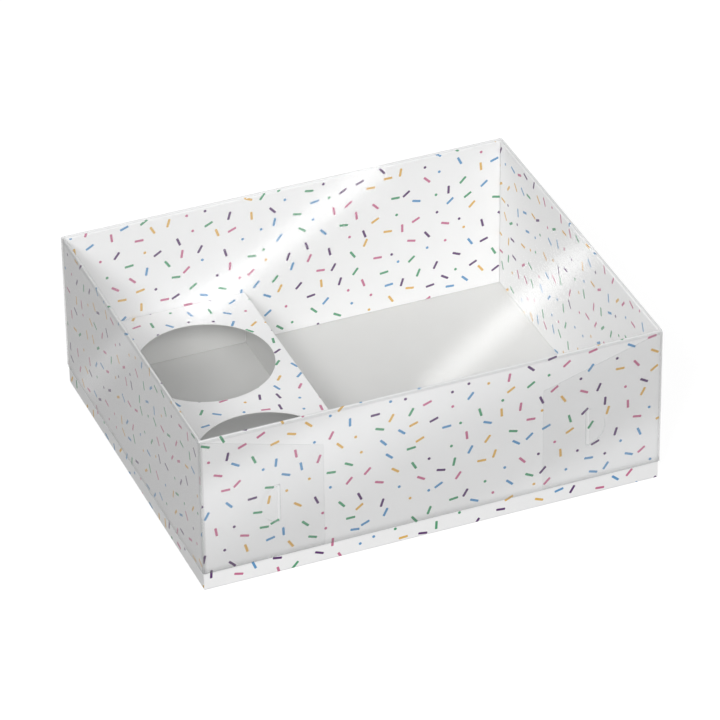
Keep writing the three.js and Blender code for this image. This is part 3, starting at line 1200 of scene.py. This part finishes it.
    def tongue(
        self, corner: tuple[int, int], materials: list[bpy.types.Material]
    ) -> bpy.types.Object:
        """A tongue: half-round on the skirt's face, and drawn back through the slit to the flap.

        Args:
            corner: The signs of X and Y at that corner of the box.
            materials: The material of each SheetSide that the sheet has.

        Returns:
            The tongue.
        """
        x, y = corner
        bpy.ops.mesh.primitive_circle_add(vertices=self.tongue_segments, radius=1.0, fill_type="NGON")
        tongue = FoldedSheet(bpy.context.active_object, Vector())
        edit_whole()
        bpy.ops.transform.rotate(value=math.pi / 2, orient_axis="X", center_override=(0, 0, 0))
        bpy.ops.transform.resize(
            value=(self.tongue_reach, 1.0, self.tongue_height / 2), center_override=(0, 0, 0)
        )
        start = self.tongue_run + self.tongue_lap * self.film
        bpy.ops.mesh.bisect(plane_co=(x * start, 0, 0), plane_no=(-x, 0, 0), clear_outer=True)
        bpy.ops.mesh.select_all(action="SELECT")
        bpy.ops.transform.translate(value=(x * self.slit_x, y * self.high.y, self.tongue_z))
        height = math.sqrt(1 - (start / self.tongue_reach) ** 2) * self.tongue_height
        foot = self.tongue_z - height / 2
        course = (
            (start, self.high.y),
            (start - self.tongue_bend, self.high.y - self.tongue_dip),
            (self.slit_play, self.flap_y + self.tongue_dip),
            (-self.tongue_foot, self.flap_y),
        )
        stops = [
            Stop(Vector((x * (self.slit_x + past_slit), y * depth, foot)), height)
            for past_slit, depth in course
        ]
        tongue.draw_out(Vector((0, 0, 1)), stops)
        bpy.ops.mesh.select_mode(type="FACE")
        bpy.ops.mesh.select_all(action="SELECT")
        mesh = bmesh.from_edit_mesh(tongue.piece.data)
        mesh.faces.ensure_lookup_table()
        largest = max(mesh.faces, key=lambda face: face.calc_area())
        is_inward = largest.normal.y * y < 0
        if is_inward:
            bpy.ops.mesh.flip_normals()
        bpy.ops.object.mode_set(mode="OBJECT")
        tongue.map_blank(self.unfolded)
        tongue.thicken(self.film, materials)
        return tongue.piece


# Camera, floor and lamps


@dataclass(frozen=True)
class Softbox:
    """A soft lamp: its place, its width and height, its power in watts and how far its light spreads."""

    name: str
    place: tuple[float, float, float]
    size: tuple[float, float]
    power: float
    aim: tuple[float, float, float] = (0, 0, 0.04)
    spread: float = math.pi


@dataclass(frozen=True)
class Glare:
    """A level lamp whose mirror image in the lid's top is a straight band.

    The band's middle line runs from start to end, on X and Y, and the radiance is 1 for white.
    """

    name: str
    start: tuple[float, float]
    end: tuple[float, float]
    breadth: float
    radiance: float


@dataclass
class Studio:
    """The camera at the photograph's angle, a plain pale floor and soft lamps."""

    azimuth: float = math.radians(-21.73337)
    elevation: float = math.radians(33.92015)
    roll: float = math.radians(-0.83485)
    place: Vector = field(default_factory=lambda: Vector((-0.69743, -1.75179, 1.30633)))
    lens_mm: float = 248.553
    sensor_mm: float = 36.0
    lid_top: float = 80.6 * MM
    glare_distance: float = 1.2
    floor_size: float = 12.0
    floor_paint: float = 0.3
    floor_lift: float = 0.82
    sky: float = 0.18
    film_layers: int = 24
    softboxes: tuple[Softbox, ...] = (
        Softbox("key_softbox", (-0.188, -1.505, 1.295), (0.8, 0.7), 17.7),
        Softbox("side_softbox", (-1.236, -1.432, 1.518), (0.68, 0.68), 33.0),
        Softbox("inside_fill", (-0.125, -0.05, 0.3), (0.1, 0.1), 0.026, (0.1, 0, 0.05),
                math.radians(75)),
        Softbox("back_fill", (0.6, 1.4, 0.8), (1.0, 1.0), 5.7),
    )
    glares: tuple[Glare, ...] = (
        Glare("strip_left", (-0.0802, 0.0028), (0.0465, 0.0881), 0.012, 7.2),
        Glare("strip_right", (-0.004, -0.0922), (0.1094, -0.0137), 0.012, 8.8),
        Glare("sheen_left", (-0.1496, 0.0164), (0.0435, 0.1463), 0.1, 1.35),
        Glare("sheen_right", (-0.0005, -0.1324), (0.154, -0.0254), 0.07, 1.6),
    )

    def add_camera(self) -> None:
        """Places the camera."""
        level = math.cos(self.elevation)
        forward = Vector((-math.sin(self.azimuth) * level, math.cos(self.azimuth) * level,
                          -math.sin(self.elevation)))
        flat_right = forward.cross(Vector((0, 0, 1))).normalized()
        flat_up = flat_right.cross(forward)
        right = math.cos(self.roll) * flat_right + math.sin(self.roll) * flat_up
        up = math.cos(self.roll) * flat_up - math.sin(self.roll) * flat_right
        data = bpy.data.cameras.new("camera")
        data.lens = self.lens_mm
        data.sensor_width = self.sensor_mm
        camera = bpy.data.objects.new("camera", data)
        bpy.context.scene.collection.objects.link(camera)
        turned = Matrix((right, up, -forward)).transposed().to_4x4()
        camera.matrix_world = Matrix.Translation(self.place) @ turned
        bpy.context.scene.camera = camera

    def add_lamp(self, softbox: Softbox, long_way: Vector | None = None) -> bpy.types.Object:
        """Places a soft rectangular lamp.

        Args:
            softbox: The lamp's name, place, size and power.
            long_way: The direction of its width, or None where that doesn't matter.

        Returns:
            The lamp.
        """
        data = bpy.data.lights.new(softbox.name, "AREA")
        data.shape = "RECTANGLE"
        data.size, data.size_y = softbox.size
        data.energy = softbox.power
        data.spread = softbox.spread
        lamp = bpy.data.objects.new(softbox.name, data)
        bpy.context.scene.collection.objects.link(lamp)
        place = Vector(softbox.place)
        back = (place - Vector(softbox.aim)).normalized()
        across = (long_way or Vector((0, 0, 1)).cross(back)).normalized()
        across = (across - back * across.dot(back)).normalized()
        turned = Matrix((across, back.cross(across), back)).transposed().to_4x4()
        lamp.matrix_world = Matrix.Translation(place) @ turned
        return lamp

    def add_glare(self, glare: Glare) -> None:
        """Places the lamp of a band of glare, at the band's mirror image in the lid's top.

        Args:
            glare: The band.
        """
        ends = [Vector((*point, self.lid_top)) for point in (glare.start, glare.end)]
        middle = (ends[0] + ends[1]) / 2
        mirrored_eye = Vector((self.place.x, self.place.y, 2 * self.lid_top - self.place.z))
        growth = 1 + self.glare_distance / (middle - mirrored_eye).length
        place = mirrored_eye + (middle - mirrored_eye) * growth
        below = place - Vector((0, 0, 1))
        size = ((ends[1] - ends[0]).length * growth, glare.breadth * growth)
        power = glare.radiance * math.pi * size[0] * size[1]
        self.add_lamp(Softbox(glare.name, tuple(place), size, power, tuple(below)), ends[1] - ends[0])

    def add_floor(self) -> None:
        """Lays the plain pale floor, which shows as the white background and keeps the box's shadow."""
        bpy.ops.mesh.primitive_plane_add(size=self.floor_size, location=(0, 0, 0))
        floor = bpy.context.active_object
        floor.name = "floor"
        material, tree = new_material("white_painted_floor")
        rays = add(tree, "ShaderNodeLightPath")
        seen = add(tree, "ShaderNodeMath",
                   {0: rays.outputs["Is Camera Ray"], 1: rays.outputs["Is Glossy Ray"]}, operation="MAXIMUM")
        shown = add(tree, "ShaderNodeMath",
                    {0: seen.outputs[0], 1: rays.outputs["Is Transmission Ray"]}, operation="MAXIMUM")
        lift = add(tree, "ShaderNodeMath", {0: shown.outputs[0], 1: self.floor_lift},
                   operation="MULTIPLY")
        paint = add(tree, "ShaderNodeBsdfDiffuse", {"Color": (*(self.floor_paint,) * 3, 1)})
        glow = add(tree, "ShaderNodeEmission", {"Color": (1, 1, 1, 1), "Strength": lift.outputs[0]})
        both = add(tree, "ShaderNodeAddShader", {0: paint.outputs[0], 1: glow.outputs[0]})
        add(tree, "ShaderNodeOutputMaterial", {"Surface": both.outputs[0]})
        floor.data.materials.append(material)

    def build(self) -> None:
        """Sets up the camera, the floor, the lamps and the world's even light."""
        self.add_camera()
        self.add_floor()
        # The film mirrors the glare lamps alone.
        for softbox in self.softboxes:
            lamp = self.add_lamp(softbox)
            lamp.visible_glossy = False
        for glare in self.glares:
            self.add_glare(glare)
        world = bpy.data.worlds.new("even_light")
        world.use_nodes = True
        sky = world.node_tree.nodes["Background"]
        sky.inputs["Color"].default_value = (1, 1, 1, 1)
        sky.inputs["Strength"].default_value = self.sky
        scene = bpy.context.scene
        scene.world = world
        scene.view_settings.view_transform = "Standard"
        # Light passes four faces of film at a corner flap going in, and four more coming out.
        scene.cycles.transparent_max_bounces = self.film_layers


def dress(piece: bpy.types.Object, body: str, node: str) -> None:
    """Puts a finished piece in the place of its CAD node and reports it.

    Args:
        piece: The piece.
        body: The body that it rides on.
        node: The node that it replaces.
    """
    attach(piece, body)
    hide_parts(node)
    log.info("%s: %d faces, for %s on %s", piece.name, len(piece.data.polygons), node, body)


def main() -> None:
    """Builds the studio and the three pieces."""
    Studio().build()

    printed = FoldingBoxboard("bleached_board_printed", "#f0f0f0", printed=SprinklePrint()).build()
    plain = FoldingBoxboard("bleached_board_plain", "#d3d3d1", roughness=0.7, mottle=0.02).build()
    cut = FoldingBoxboard("bleached_board_cut", "#eeeeec", roughness=0.85, fibre_mm=0.15).build()
    card = [printed, plain, cut]

    lid_low, lid_high = (Vector(corner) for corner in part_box("clear_lid"))
    film = ClearFilm("polyester_film_clear").build(lid_low, lid_high)
    # The tucked film is left without the painted shade and the painted sheen bands.
    film_tucked = ClearFilm(
        "polyester_film_tucked", mirror=0.01, mirror_at_edge=0.05, veil=0.012, tint=0.97,
        crease_painted_shade=0.0, hem_painted_shade=0.0, band_painted_shade=0.0, band_painted_veil=0.0,
    ).build(lid_low, lid_high)
    # The inner face adds nothing of its own, so that each ply of film is counted once.
    film_back = FilmCutEdge("polyester_film_back", solidity=0.0).build()
    film_cut = FilmCutEdge("polyester_film_cut").build()

    tray = CardTray(*(Vector(corner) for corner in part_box("base_tray"))).build(card)
    dress(tray, "tray", "base_tray")
    insert = CardInsert(*(Vector(corner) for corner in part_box("cupcake_insert"))).build(card)
    dress(insert, "tray", "cupcake_insert")
    lid = FilmLid(lid_low, lid_high).build([film, film_back, film_cut, film_tucked])
    dress(lid, "lid", "clear_lid")


if __name__ == "__main__":
    main()
